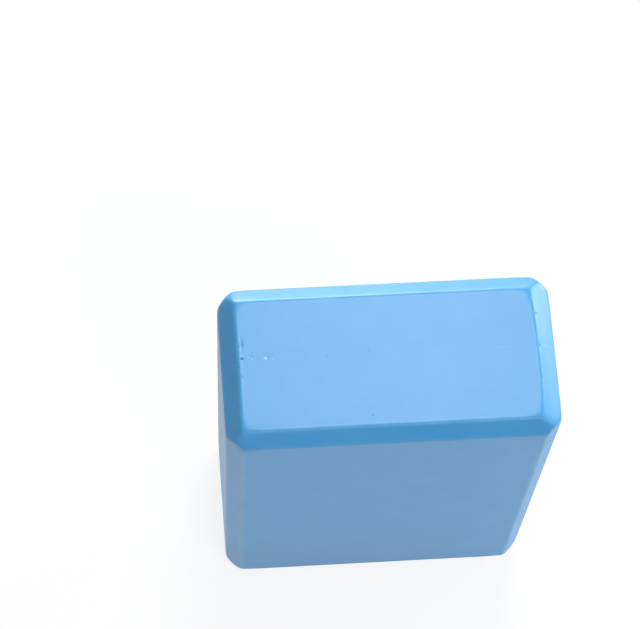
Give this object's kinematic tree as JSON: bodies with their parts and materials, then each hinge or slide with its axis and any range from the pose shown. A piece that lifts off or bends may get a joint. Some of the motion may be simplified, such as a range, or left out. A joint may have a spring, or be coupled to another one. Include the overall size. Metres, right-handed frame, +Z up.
{
  "type": "foam block",
  "caption": "Exercise block of blue closed-cell foam: a rectangular brick standing on its end, every edge bevelled at 45 degrees with softened arrises.",
  "frame": {"origin": "centre of the end face that the block stands on", "axes": "+X across the width, +Y through the thickness away from the front broad face, +Z up the length"},
  "size_m": [0.1524, 0.0762, 0.2286],
  "materials": {
    "foam": "matt closed-cell EVA foam, light blue, cut and milled"
  },
  "bodies": {
    "root": {"foam_block": "foam"}
  },
  "joints": []
}
